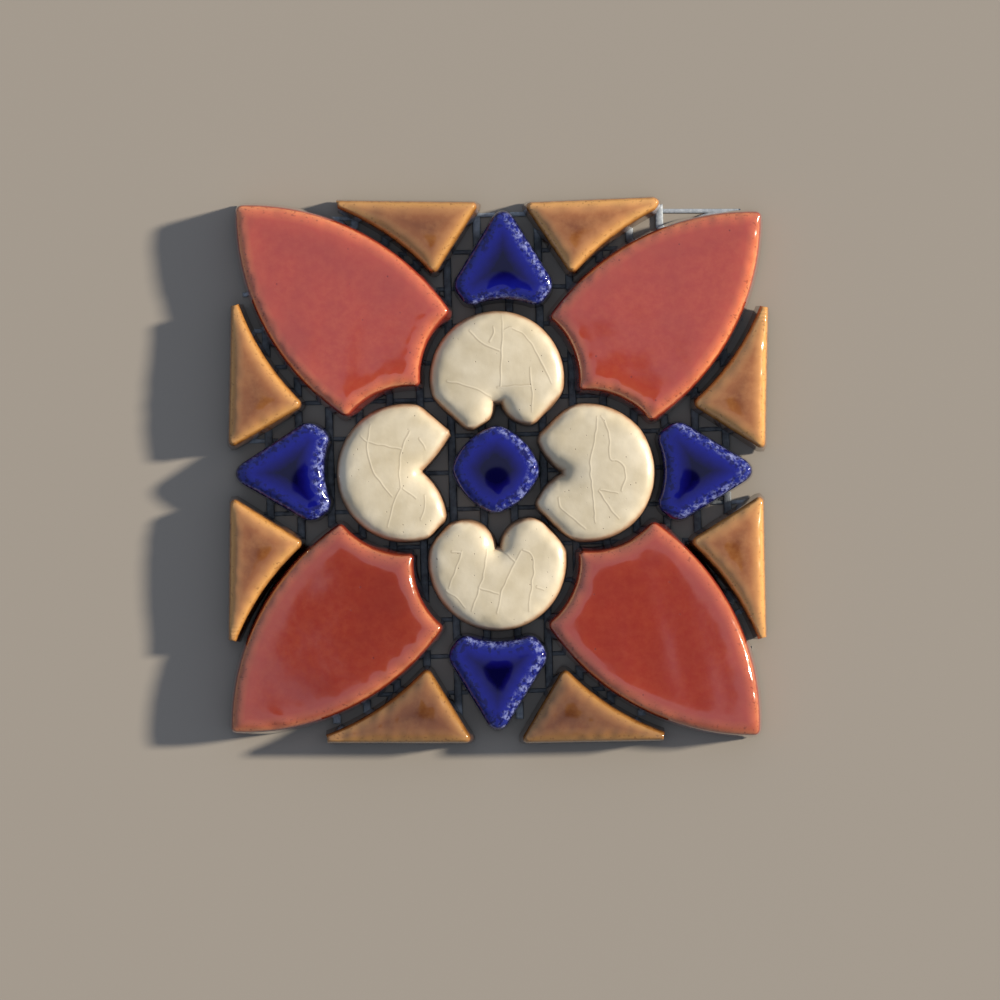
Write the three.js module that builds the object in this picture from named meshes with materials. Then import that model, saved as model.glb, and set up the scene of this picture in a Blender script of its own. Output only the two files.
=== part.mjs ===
import * as THREE from 'three';

// A square flower of hand-cut glazed tiles, bedded on a piece of glass-fibre net.
// Millimetres, +Z up. The panel lies on its back: the net's underside is z = 0, the glaze
// faces up, and the origin is the middle of the panel's outline.

// Panel
const panelSide = 98;
const jointWidth = 1.6;

// Layers, from the underside up
const netThickness = 0.6;
const beddingFilm = 0.3;
const tileThickness = 7.1;

// Centre tile: eight bulged sides between corners on the axes and on the diagonals
const centreAcrossCorners = 17;
const centreAcrossDiagonals = 15.6;
const centreSideRadius = 14;

// Cream petals: discs cut flat along the diagonals, with a notch over the centre tile. They
// swell past their drawn outline, into the joints
const creamRadius = 12.3;
const creamOffset = 16.35;
const creamSwell = 0.45;

// Each notch, pressed in by hand: how far it runs past the centre tile's corner, the angle
// between its sides at the cleft, how far it leans anticlockwise, the radii at which its sides
// bulge, the joint between the lobes and the centre tile, and the lobes' rounding. Left and
// right are those of the top petal, whose notch opens downwards
const notches = {
  cream_petal_top: {
    depth: 2.6, angle: 30, lean: 5, leftRadius: 5.4, rightRadius: 6.2, joint: 1.05, lobeRadius: 1.3,
  },
  cream_petal_right: {
    depth: 3, angle: 66, lean: -2, leftRadius: 12, rightRadius: 12, joint: 1.25, lobeRadius: 1.5,
  },
  cream_petal_bottom: {
    depth: 4.9, angle: 20, lean: 3, leftRadius: 6.2, rightRadius: 6, joint: 1.15, lobeRadius: 1.5,
  },
  cream_petal_left: {
    depth: 4.5, angle: 83, lean: -2, leftRadius: 11.6, rightRadius: 26, joint: 0.95, lobeRadius: 0.8,
  },
};

// The soft valley that runs on from a cleft
const valleyDepth = 0.9;
const valleyWidth = 2.4;
const valleyLength = 6;

// Red petals: two arcs that meet near the panel's corner
const redWidth = 30;
const redWidestAt = 34.8;
const redTipSetback = 1.05;

// Blue wedges: sides that would meet just past the middle of the panel's edge
const wedgeAngle = 63;
const wedgeOvershoot = 0.4;

// Amber pieces: how far their long ends reach along the panel's edge
const amberReach = 31.6;
const bluntAmberReach = 27.9;

// Corner rounding of each kind of tile, seen from above
const centreCornerRadius = 1.2;
const redCornerRadius = 1.8;
const wedgeCornerRadius = 2.2;
const wedgeTipRadius = 3.8;
const amberCornerRadius = 1.8;

// Sections: how far the wall leans in, the rounded shoulder's width and drop, and the middle's
// rise. On a narrow tile the shoulder takes no more than a share of the way to the middle
const redSection = { wallDraft: 0.9, shoulderWidth: 3, shoulderDrop: 2.1, rise: 0.2 };
const creamSection = { wallDraft: 0.3, shoulderWidth: 3.8, shoulderDrop: 1.9, rise: 0.5 };
const blueSection = { wallDraft: 0.5, shoulderWidth: 2.2, shoulderDrop: 1.3, rise: 0.2 };
const amberSection = { wallDraft: 0.7, shoulderWidth: 2.7, shoulderDrop: 2, rise: 0.3 };
const shoulderShare = 0.7;
const shoulderSteps = 3;
const shoulderFullness = 2.2;

// Net: threads and openings, and how it was trimmed and turned
const netMargin = 1.7;
const netTurn = 1.5;
const uprightThread = { pitch: 5.53, width: 1.44, fromEdge: 6 };
const crossThread = { pitch: 6.66, width: 0.8, fromEdge: 1.1 };

// How far each tile strays from its place, in joint widths: slide right, slide up, swing of
// its far end anticlockwise, and how much it is cut back all round, or spread where negative
const lays = {
  blue_centre_tile: [-0.2, -0.05, -0.1, 0],
  cream_petal_top: [-0.15, 0, 0.4, 0.2],
  cream_petal_right: [-0.2, -0.4, 0, 0],
  cream_petal_bottom: [-0.05, -0.2, -0.2, 0],
  cream_petal_left: [-0.1, -0.7, 0.75, 0],
  blue_wedge_top: [0.6, -0.1, 0.05, 0],
  blue_wedge_right: [-0.5, -0.2, 0.05, 0],
  blue_wedge_bottom: [0.05, -0.2, 0, 0],
  blue_wedge_left: [-0.3, -0.4, 0.2, 0],
  red_petal_top_right: [-0.1, -0.45, -0.2, 0.15],
  red_petal_bottom_right: [0, -0.1, -0.2, 0],
  red_petal_bottom_left: [-0.2, -0.25, -0.2, 0.15],
  red_petal_top_left: [0.4, 0.1, 0.2, 0],
  amber_piece_top_right: [1.15, -0.1, 0.4, -0.15],
  amber_piece_top_left: [0.5, -0.2, -0.1, -0.1],
  amber_piece_right_lower: [-0.3, -0.5, 0.2, -0.15],
  amber_piece_right_upper: [-0.1, -0.25, -0.2, -0.15],
  amber_piece_bottom_left: [-0.45, -0.4, 0, -0.2],
  amber_piece_bottom_right: [0.1, -0.35, 0.2, -0.15],
  amber_piece_left_upper: [0.2, -0.2, -0.2, -0.15],
  amber_piece_left_lower: [0.2, -0.8, -0.1, -0.15],
};

// Finishes
const finishes = {
  cream: { color: 0xded6bf, roughness: 0.35, metalness: 0 },
  red: { color: 0xb4503a, roughness: 0.15, metalness: 0 },
  blue: { color: 0x1c2f86, roughness: 0.12, metalness: 0 },
  amber: { color: 0xc98f4f, roughness: 0.2, metalness: 0 },
  net: { color: 0xb7bfc6, roughness: 0.55, metalness: 0 },
};

// Facets: the most that a chord may cut inside a tile's outline
const chordTolerance = 0.09;
const anglesTried = 720;
const halvings = 24;

const halfPanel = panelSide / 2;
const quarterTurn = Math.PI / 2;
const wedgeApex = halfPanel + wedgeOvershoot;
const halfWedge = THREE.MathUtils.degToRad(wedgeAngle / 2);

// A red petal's arcs, along and across its diagonal, and one arc's centre in x and y
const redHalfLength = halfPanel * Math.SQRT2 - redTipSetback - redWidestAt;
const redHalfWidth = redWidth / 2;
const redArcRadius = (redHalfLength ** 2 + redHalfWidth ** 2) / redWidth;
const redArcAcross = redArcRadius - redHalfWidth;
const redArcX = (redWidestAt + redArcAcross) * Math.SQRT1_2;
const redArcY = (redWidestAt - redArcAcross) * Math.SQRT1_2;

// Every outline is a signed distance, negative inside the tile
function circle(x, y, centreX, centreY, radius) {
  return Math.hypot(x - centreX, y - centreY) - radius;
}

// Inside all the given distances at once, with the corners between them rounded
function meet(distances, cornerRadius) {
  let nearest = -Infinity;
  let corner = 0;
  for (const distance of distances) {
    nearest = Math.max(nearest, distance);
    corner += Math.max(distance + cornerRadius, 0) ** 2;
  }
  return Math.min(-cornerRadius, nearest) + Math.sqrt(corner);
}

// The centres of the centre tile's eight arcs, from the one between its first two corners
function centreArcCentres() {
  const corner = new THREE.Vector2(centreAcrossCorners / 2, 0);
  const diagonal = new THREE.Vector2(1, 1).setLength(centreAcrossDiagonals / 2);
  const side = diagonal.clone().sub(corner);
  const outward = new THREE.Vector2(side.y, -side.x).normalize();
  const depth = Math.sqrt(centreSideRadius ** 2 - (side.length() / 2) ** 2);
  const first = corner.clone().add(diagonal).multiplyScalar(0.5).addScaledVector(outward, -depth);
  const centres = [];
  for (let quarter = 0; quarter < 4; quarter += 1) {
    for (const mirror of [1, -1]) {
      const centre = new THREE.Vector2(first.x, mirror * first.y);
      centres.push(centre.rotateAround(new THREE.Vector2(), quarter * quarterTurn));
    }
  }
  return centres;
}

const centreArcs = centreArcCentres();

function centreTile(x, y) {
  const sides = centreArcs.map((centre) => circle(x, y, centre.x, centre.y, centreSideRadius));
  return meet(sides, centreCornerRadius);
}

// Where a notch ends, up from the panel's middle
function cleftOf(notch) {
  return centreAcrossCorners / 2 + notch.depth;
}

// The lobe right of a notch: its side is an arc from the cleft down to its end, then level
function lobeBeside(cleft, angle, radius) {
  const centreX = radius * Math.cos(THREE.MathUtils.degToRad(angle));
  const centreY = cleft + radius * Math.sin(THREE.MathUtils.degToRad(angle));
  return (x, y) => Math.hypot(Math.max(centreX - x, 0), Math.max(centreY - y, 0)) - radius;
}

// The petal above the centre tile, with a notch between its two lobes
function creamPetal(notch) {
  const cleft = cleftOf(notch);
  const rightLobe = lobeBeside(cleft, notch.angle / 2 + notch.lean, notch.rightRadius);
  const leftLobe = lobeBeside(cleft, notch.angle / 2 - notch.lean, notch.leftRadius);
  return (x, y) => {
    const disc = circle(x, y, 0, creamOffset, creamRadius + creamSwell);
    const rightFlat = (x - y) * Math.SQRT1_2 + jointWidth / 2 - creamSwell;
    const leftFlat = (-x - y) * Math.SQRT1_2 + jointWidth / 2 - creamSwell;
    const seat = notch.joint - creamSwell - centreTile(x, y);
    const lobes = Math.min(rightLobe(x, y), leftLobe(-x, y), cleft - y);
    return meet([disc, rightFlat, leftFlat, seat, lobes], notch.lobeRadius);
  };
}

// How far the glaze dips where the notch runs on into the petal as a soft valley
function creamValley(notch) {
  const valleyEnd = cleftOf(notch) + valleyLength;
  return (x, y) => {
    const across = Math.exp(-((x / valleyWidth) ** 2));
    const along = THREE.MathUtils.clamp((valleyEnd - y) / valleyLength, 0, 1);
    return -valleyDepth * across * along ** 2;
  };
}

// The right side of the wedge at the top of the panel
function wedgeSide(x, y) {
  return x * Math.cos(halfWedge) - (wedgeApex - y) * Math.sin(halfWedge);
}

function blueWedge(x, y) {
  const tip = meet([wedgeSide(x, y), wedgeSide(-x, y)], wedgeTipRadius);
  const base = -circle(x, y, 0, creamOffset, creamRadius + jointWidth);
  const rightShoulder = -circle(x, y, redArcX, redArcY, redArcRadius + jointWidth);
  const leftShoulder = -circle(x, y, -redArcX, redArcY, redArcRadius + jointWidth);
  return meet([tip, base, rightShoulder, leftShoulder], wedgeCornerRadius);
}

// The piece at the top of the panel, on the right, as long as its reach allows
function amberPiece(reach) {
  return (x, y) => {
    const besideWedge = jointWidth - wedgeSide(x, y);
    const besideRed = -circle(x, y, redArcX, redArcY, redArcRadius + jointWidth);
    return meet([x - reach, y - halfPanel, besideWedge, besideRed], amberCornerRadius);
  };
}

// The petal at the top right of the panel
function redPetal(x, y) {
  const along = (x + y) * Math.SQRT1_2;
  const across = (y - x) * Math.SQRT1_2;
  const upperArc = circle(along, across, redWidestAt, -redArcAcross, redArcRadius);
  const lowerArc = circle(along, across, redWidestAt, redArcAcross, redArcRadius);
  const aboveCream = -circle(x, y, 0, creamOffset, creamRadius + jointWidth);
  const besideCream = -circle(x, y, creamOffset, 0, creamRadius + jointWidth);
  return meet([upperArc, lowerArc, aboveCream, besideCream], redCornerRadius);
}

// The point of a tile that lies furthest from its edges, found by ever shorter steps
function deepestPoint(outline, start) {
  const point = start.clone();
  for (let step = creamRadius / 2; step > chordTolerance / 10; step /= 2) {
    let moved = true;
    while (moved) {
      moved = false;
      for (const [stepX, stepY] of [[step, 0], [-step, 0], [0, step], [0, -step]]) {
        if (outline(point.x + stepX, point.y + stepY) < outline(point.x, point.y)) {
          point.x += stepX;
          point.y += stepY;
          moved = true;
        }
      }
    }
  }
  return point;
}

// How far the outline, set in by inset, lies from the middle in one direction
function reachAt(outline, middle, angle, inset) {
  const levelAt = (radius) => outline(
    middle.x + radius * Math.cos(angle),
    middle.y + radius * Math.sin(angle),
  ) + inset;
  let inner = 0;
  let outer = jointWidth;
  while (levelAt(outer) < 0) {
    inner = outer;
    outer += jointWidth / 2;
  }
  for (let halving = 0; halving < halvings; halving += 1) {
    const between = (inner + outer) / 2;
    if (levelAt(between) < 0) inner = between;
    else outer = between;
  }
  return inner;
}

function ringAt(outline, middle, angles, inset) {
  return angles.map((angle) => {
    const reach = reachAt(outline, middle, angle, inset);
    return new THREE.Vector2(Math.cos(angle), Math.sin(angle)).multiplyScalar(reach).add(middle);
  });
}

// The fewest directions whose chords stay within the tolerance of the outline
function cornerAngles(outline, middle) {
  const tried = Array.from({ length: anglesTried + 1 }, (_, index) => (index * 2 * Math.PI) / anglesTried);
  const ring = ringAt(outline, middle, tried, 0);
  const chordError = (first, last) => {
    const chord = ring[last].clone().sub(ring[first]);
    let worst = 0;
    for (let index = first + 1; index < last; index += 1) {
      worst = Math.max(worst, Math.abs(ring[index].clone().sub(ring[first]).cross(chord)) / chord.length());
    }
    return worst;
  };
  const kept = [];
  let first = 0;
  while (first < anglesTried) {
    kept.push(tried[first]);
    let last = first + 1;
    while (last < anglesTried && chordError(first, last + 1) < chordTolerance) last += 1;
    first = last;
  }
  return kept;
}

// Insets and heights from the footprint up over the rounded shoulder
function sectionSteps(section, depth) {
  const { wallDraft, shoulderDrop } = section;
  const shoulderWidth = Math.min(section.shoulderWidth, depth * shoulderShare - wallDraft);
  const steps = [[0, 0], [wallDraft, tileThickness - shoulderDrop]];
  for (let step = 1; step <= shoulderSteps; step += 1) {
    const share = step / shoulderSteps;
    const drop = shoulderDrop * (1 - share) ** shoulderFullness;
    steps.push([wallDraft + shoulderWidth * share, tileThickness - drop]);
  }
  return steps;
}

// A closed tile about its own middle: underside, drafted wall, shoulder and top
function tileGeometry(outline, middle, section, relief) {
  const angles = cornerAngles(outline, middle);
  const steps = sectionSteps(section, -outline(middle.x, middle.y));
  const positions = [];
  const indices = [];
  const addPoint = (x, y, z) => positions.push(x - middle.x, y - middle.y, z);
  const sides = angles.length;
  addPoint(middle.x, middle.y, 0);
  for (const [inset, height] of steps) {
    for (const point of ringAt(outline, middle, angles, inset)) {
      const dip = height > 0 ? relief(point.x, point.y) : 0;
      addPoint(point.x, point.y, height + dip);
    }
  }
  addPoint(middle.x, middle.y, tileThickness + section.rise + relief(middle.x, middle.y));
  const top = positions.length / 3 - 1;
  for (let side = 0; side < sides; side += 1) {
    const next = (side + 1) % sides;
    indices.push(0, 1 + next, 1 + side);
    for (let ring = 0; ring < steps.length - 1; ring += 1) {
      const lower = 1 + ring * sides;
      const upper = lower + sides;
      indices.push(lower + side, lower + next, upper + next);
      indices.push(lower + side, upper + next, upper + side);
    }
    indices.push(top, top - sides + side, top - sides + next);
  }
  return closedGeometry(positions, indices);
}

function closedGeometry(positions, indices) {
  const geometry = new THREE.BufferGeometry();
  geometry.setAttribute('position', new THREE.Float32BufferAttribute(positions, 3));
  geometry.setIndex(indices);
  geometry.computeVertexNormals();
  return geometry;
}

function material(finish) {
  return new THREE.MeshStandardMaterial({ ...finishes[finish], flatShading: true });
}

// One tile of a kind, turned by whole quarters clockwise from the top and strayed as it was laid
function laidTile(name, kind, quarters) {
  const [slideRight, slideUp, swing, cutBack] = lays[name];
  const mirror = kind.mirrored ? -1 : 1;
  const outline = (x, y) => kind.outline(mirror * x, y) + cutBack * jointWidth;
  const middle = new THREE.Vector2(mirror * kind.middle.x, kind.middle.y);
  const geometry = tileGeometry(outline, middle, kind.section, kind.relief ?? (() => 0));
  geometry.computeBoundingSphere();
  const turn = (swing * jointWidth) / geometry.boundingSphere.radius;
  const mesh = new THREE.Mesh(geometry, material(kind.finish));
  mesh.name = name;
  const place = middle.clone().rotateAround(new THREE.Vector2(), -quarters * quarterTurn);
  mesh.position.set(
    place.x + slideRight * jointWidth,
    place.y + slideUp * jointWidth,
    netThickness + beddingFilm,
  );
  mesh.rotation.z = turn - quarters * quarterTurn;
  return mesh;
}

// Threads' places across the net, from the first one in from its trimmed edge
function threadPlaces(thread, side) {
  const places = [];
  const last = side / 2 - thread.width;
  for (let place = thread.fromEdge - side / 2; place < last; place += thread.pitch) places.push(place);
  return places;
}

// The edges of strips and gaps across the net: strips are the odd intervals
function stripEdges(places, thread, side) {
  const edges = [-side / 2];
  for (const place of places) edges.push(place - thread.width / 2, place + thread.width / 2);
  edges.push(side / 2);
  return edges;
}

// A flat lattice: cells on an upright or a cross thread are filled, the rest are open
function netGeometry() {
  const side = panelSide - 2 * netMargin;
  const columns = stripEdges(threadPlaces(uprightThread, side), uprightThread, side);
  const rows = stripEdges(threadPlaces(crossThread, side), crossThread, side).map((edge) => -edge);
  const positions = [];
  const indices = [];
  const known = new Map();
  const pointAt = (column, row, z) => {
    const key = `${column},${row},${z}`;
    if (!known.has(key)) {
      known.set(key, positions.length / 3);
      positions.push(columns[column], rows[row], z);
    }
    return known.get(key);
  };
  const isFilled = (column, row) => {
    const inside = column >= 0 && row >= 0 && column < columns.length - 1 && row < rows.length - 1;
    return inside && (column % 2 === 1 || row % 2 === 1);
  };
  const addQuad = (a, b, c, d) => indices.push(a, b, c, a, c, d);
  const addWall = (fromColumn, fromRow, toColumn, toRow) => addQuad(
    pointAt(fromColumn, fromRow, 0),
    pointAt(toColumn, toRow, 0),
    pointAt(toColumn, toRow, netThickness),
    pointAt(fromColumn, fromRow, netThickness),
  );
  for (let row = 0; row < rows.length - 1; row += 1) {
    for (let column = 0; column < columns.length - 1; column += 1) {
      if (!isFilled(column, row)) continue;
      const corners = [[column, row + 1], [column + 1, row + 1], [column + 1, row], [column, row]];
      addQuad(...corners.map(([x, y]) => pointAt(x, y, netThickness)));
      addQuad(...corners.map(([x, y]) => pointAt(x, y, 0)).reverse());
      if (!isFilled(column, row + 1)) addWall(...corners[0], ...corners[1]);
      if (!isFilled(column + 1, row)) addWall(...corners[1], ...corners[2]);
      if (!isFilled(column, row - 1)) addWall(...corners[2], ...corners[3]);
      if (!isFilled(column - 1, row)) addWall(...corners[3], ...corners[0]);
    }
  }
  return closedGeometry(positions, indices);
}

function backingNet() {
  const mesh = new THREE.Mesh(netGeometry(), material('net'));
  mesh.name = 'backing_net';
  mesh.rotation.z = THREE.MathUtils.degToRad(netTurn);
  return mesh;
}

// Each kind of tile as it lies at the top of the panel, or at its top right, and the point
// that its section climbs to
const wedgeBase = creamOffset + creamRadius + jointWidth;
const kinds = {
  centre: {
    outline: centreTile,
    section: blueSection,
    finish: 'blue',
    middle: new THREE.Vector2(0, 0),
  },
  wedge: {
    outline: blueWedge,
    section: blueSection,
    finish: 'blue',
    middle: new THREE.Vector2(0, (2 * wedgeBase + halfPanel) / 3),
  },
  red: {
    outline: redPetal,
    section: redSection,
    finish: 'red',
    middle: new THREE.Vector2(1, 1).setLength(redWidestAt),
  },
};

function creamKind(notch) {
  const outerEnd = creamOffset + creamRadius + creamSwell;
  const middle = new THREE.Vector2(0, (cleftOf(notch) + outerEnd) / 2);
  const outline = creamPetal(notch);
  return { outline, section: creamSection, relief: creamValley(notch), finish: 'cream', middle };
}

function amberKind(reach, mirrored) {
  const outline = amberPiece(reach);
  const start = new THREE.Vector2(amberReach / 2, halfPanel - 2 * jointWidth);
  const middle = deepestPoint(outline, start);
  return { outline, section: amberSection, finish: 'amber', middle, mirrored };
}

// Names go clockwise from the top; an amber piece has its mirror image across the wedge
const sides = ['top', 'right', 'bottom', 'left'];
const corners = ['top_right', 'bottom_right', 'bottom_left', 'top_left'];
const amberPlaces = ['top_right', 'right_lower', 'bottom_left', 'left_upper'];
const mirroredPlaces = ['top_left', 'right_upper', 'bottom_right', 'left_lower'];
const bluntPlace = 'top_right';

const panel = new THREE.Group();
panel.add(backingNet());
panel.add(laidTile('blue_centre_tile', kinds.centre, 0));
for (let quarter = 0; quarter < sides.length; quarter += 1) {
  const reach = amberPlaces[quarter] === bluntPlace ? bluntAmberReach : amberReach;
  const cream = `cream_petal_${sides[quarter]}`;
  panel.add(laidTile(cream, creamKind(notches[cream]), quarter));
  panel.add(laidTile(`blue_wedge_${sides[quarter]}`, kinds.wedge, quarter));
  panel.add(laidTile(`red_petal_${corners[quarter]}`, kinds.red, quarter));
  panel.add(laidTile(`amber_piece_${amberPlaces[quarter]}`, amberKind(reach, false), quarter));
  panel.add(laidTile(`amber_piece_${mirroredPlaces[quarter]}`, amberKind(amberReach, true), quarter));
}

// The origin goes to the middle of the outline that the strayed tiles give
const middleOfOutline = new THREE.Box3().setFromObject(panel, true).getCenter(new THREE.Vector3());
panel.position.set(-middleOfOutline.x, -middleOfOutline.y, 0);

export default panel;
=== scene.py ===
# A square flower of hand-cut glazed tiles, bedded on a piece of glass-fibre net
import math
from typing import NamedTuple

import bpy
import numpy as np
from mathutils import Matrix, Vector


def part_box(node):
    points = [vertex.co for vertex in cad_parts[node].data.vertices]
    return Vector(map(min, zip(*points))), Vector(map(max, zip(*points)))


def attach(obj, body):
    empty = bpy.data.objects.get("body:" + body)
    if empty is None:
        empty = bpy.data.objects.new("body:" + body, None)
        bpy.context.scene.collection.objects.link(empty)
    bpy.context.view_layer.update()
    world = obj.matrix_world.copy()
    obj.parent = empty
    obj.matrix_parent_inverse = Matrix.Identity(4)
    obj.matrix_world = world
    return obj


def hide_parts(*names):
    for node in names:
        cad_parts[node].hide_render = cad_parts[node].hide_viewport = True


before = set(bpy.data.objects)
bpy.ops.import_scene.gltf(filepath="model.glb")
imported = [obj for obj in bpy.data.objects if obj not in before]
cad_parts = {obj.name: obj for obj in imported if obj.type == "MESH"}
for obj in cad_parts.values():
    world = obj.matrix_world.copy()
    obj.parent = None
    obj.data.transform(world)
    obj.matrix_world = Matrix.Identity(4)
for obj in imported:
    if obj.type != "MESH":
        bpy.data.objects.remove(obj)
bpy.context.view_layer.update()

# The panel's measures are in millimetres, and Blender's own are in metres
METRE = 1000.0

# Panel and tiles, whose feet are a net's and a film of glue's thickness up
PANEL_SIDE = 98.0
JOINT = 1.6
TILE_FOOT = 0.9
TILE_THICKNESS = 7.1
EDGE_CLEARANCE = 0.04

# Centre tile
CENTRE_CORNERS = 17.0
CENTRE_DIAGONALS = 15.6
CENTRE_SIDE_RADIUS = 14.0
CENTRE_CORNER_RADIUS = 1.2

# Cream petals
CREAM_RADIUS = 12.3
CREAM_OFFSET = 16.35
CREAM_SWELL = 0.45
VALLEY_DEPTH = 0.9
VALLEY_WIDTH = 2.4
VALLEY_LENGTH = 6.0

# Red petals
RED_WIDTH = 30.0
RED_WIDEST_AT = 34.8
RED_TIP_SETBACK = 1.05
RED_CORNER_RADIUS = 1.8

# Blue wedges
WEDGE_ANGLE = 63.0
WEDGE_OVERSHOOT = 0.4
WEDGE_CORNER_RADIUS = 2.2
WEDGE_TIP_RADIUS = 3.8

# Amber pieces
AMBER_REACH = 31.6
BLUNT_AMBER_REACH = 27.9
AMBER_CORNER_RADIUS = 1.8

# For each kind of tile: how far its wall leans in, how far further in its shoulder turns over,
# the shoulder's drop, the crown over the middle and the crown's radius
SECTIONS = {
    "red": {"draft": 0.65, "shoulder": 1.25, "drop": 2.2, "crown": 0.12, "crown_radius": 22.0},
    "cream": {"draft": 0.3, "shoulder": 1.6, "drop": 2.3, "crown": 0.42, "crown_radius": 9.0},
    "blue": {"draft": 0.4, "shoulder": 1.1, "drop": 1.8, "crown": 0.3, "crown_radius": 7.5},
    "amber": {"draft": 0.5, "shoulder": 1.5, "drop": 2.4, "crown": 0.3, "crown_radius": 10.0},
}
SHOULDER_ROUNDNESS = 1.5

# Spacing of the mesh on each kind of tile, its rings as shares of the wall's and the shoulder's
# width, and the room left inside the last ring, in spacings
MESH_STEPS = {"red": 0.25, "cream": 0.105, "blue": 0.15, "amber": 0.18}
WALL_RINGS = (0, 0.08, 0.25, 0.42, 0.58, 0.75, 0.9, 1)
SHOULDER_RINGS = (0.02, 0.05, 0.1, 0.16, 0.24, 0.33)
RING_ROOM = 0.3

# Rounds in which points slide to an inset, the border settles and the fullness spreads, and what
# the square and the length of an outline's slope are taken to be where they are less
SLIDE_ROUNDS = 4
SETTLE_ROUNDS = 6
EASE_ROUNDS = 260
LEAST_SQUARE = 0.25
LEAST_LENGTH = 0.1

# How far round its middle a tile's outline is looked for, how closely, and the room around it
SEARCH_REACH = 36.0
SEARCH_STEP = 0.4
SEARCH_ROOM = 1.0

# First and last step of the walk to a tile's deepest point
FIRST_STEP = 6.0
FINEST_STEP = 0.01

# Each cream petal's notch: depth past the centre tile, angle at the cleft, lean anticlockwise,
# radii of its left and right side, joint to the centre tile, rounding of its lobes
NOTCHES = {
    "top": (2.6, 30, 5, 5.4, 6.2, 1.05, 1.3),
    "right": (3.0, 66, -2, 12.0, 12.0, 1.25, 1.5),
    "bottom": (4.9, 20, 3, 6.2, 6.0, 1.15, 1.5),
    "left": (4.5, 83, -2, 11.6, 26.0, 0.95, 0.8),
}

# How each tile strays, in joints: slide right, slide up, swing anticlockwise, cut back all round
LAYS = {
    "blue_centre_tile": (-0.2, -0.05, -0.1, 0),
    "cream_petal_top": (-0.15, 0, 0.4, 0.2),
    "cream_petal_right": (-0.2, -0.4, 0, 0),
    "cream_petal_bottom": (-0.05, -0.2, -0.2, 0),
    "cream_petal_left": (-0.1, -0.7, 0.75, 0),
    "blue_wedge_top": (0.6, -0.1, 0.05, 0),
    "blue_wedge_right": (-0.5, -0.2, 0.05, 0),
    "blue_wedge_bottom": (0.05, -0.2, 0, 0),
    "blue_wedge_left": (-0.3, -0.4, 0.2, 0),
    "red_petal_top_right": (-0.1, -0.45, -0.2, 0.15),
    "red_petal_bottom_right": (0, -0.1, -0.2, 0),
    "red_petal_bottom_left": (-0.2, -0.25, -0.2, 0.15),
    "red_petal_top_left": (0.4, 0.1, 0.2, 0),
    "amber_piece_top_right": (1.15, -0.1, 0.4, -0.15),
    "amber_piece_top_left": (0.5, -0.2, -0.1, -0.1),
    "amber_piece_right_lower": (-0.3, -0.5, 0.2, -0.15),
    "amber_piece_right_upper": (-0.1, -0.25, -0.2, -0.15),
    "amber_piece_bottom_left": (-0.45, -0.4, 0, -0.2),
    "amber_piece_bottom_right": (0.1, -0.35, 0.2, -0.15),
    "amber_piece_left_upper": (0.2, -0.2, -0.2, -0.15),
    "amber_piece_left_lower": (0.2, -0.8, -0.1, -0.15),
}

# How the glaze's top leans, in degrees: up to the right, up to the top
TILTS = {
    "red_petal_bottom_left": (-0.6, 0.6),
    "red_petal_bottom_right": (0.2, 0.2),
    "amber_piece_top_left": (0.5, -0.4),
    "amber_piece_bottom_left": (0.3, 0.8),
    "amber_piece_bottom_right": (-0.3, 0.8),
}

# How much darker than the others a tile was fired, from 0 to 1
TONES = {
    "red_petal_bottom_left": 0.35,
    "red_petal_bottom_right": 0.15,
    "amber_piece_top_left": 0.25,
    "amber_piece_left_upper": 0.25,
    "amber_piece_left_lower": 0.2,
    "amber_piece_bottom_left": 0.55,
    "amber_piece_bottom_right": 0.55,
}

# Tool ribs pressed across the ends of two amber pieces: the way to that end, up or down
RIBBED_ENDS = {"amber_piece_right_upper": 1, "amber_piece_left_lower": -1}
RIB_PITCH = 0.75
RIB_DEPTH = 0.11
RIB_REACH = 3.6

# Height of the lumps that the glaze leaves along its edges, and their length
EDGE_LUMPS = {"red": 0.045, "cream": 0.03, "blue": 0.06, "amber": 0.04}
LUMP_LENGTH = 3.2

# Height and length of the gentle swell over a tile's whole top
SWELL_HEIGHT = 0.01
SWELL_LENGTH = 9.0

# Waves that make up a ripple, with lengths as shares of its own, and the seed of all that is uneven
RIPPLE_WAVES = 7
WAVE_LENGTHS = (0.7, 1.4)
SEED = 7

# Edges sharper than this, in degrees, aren't smoothed over
SHARP_ANGLE = 60

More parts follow.
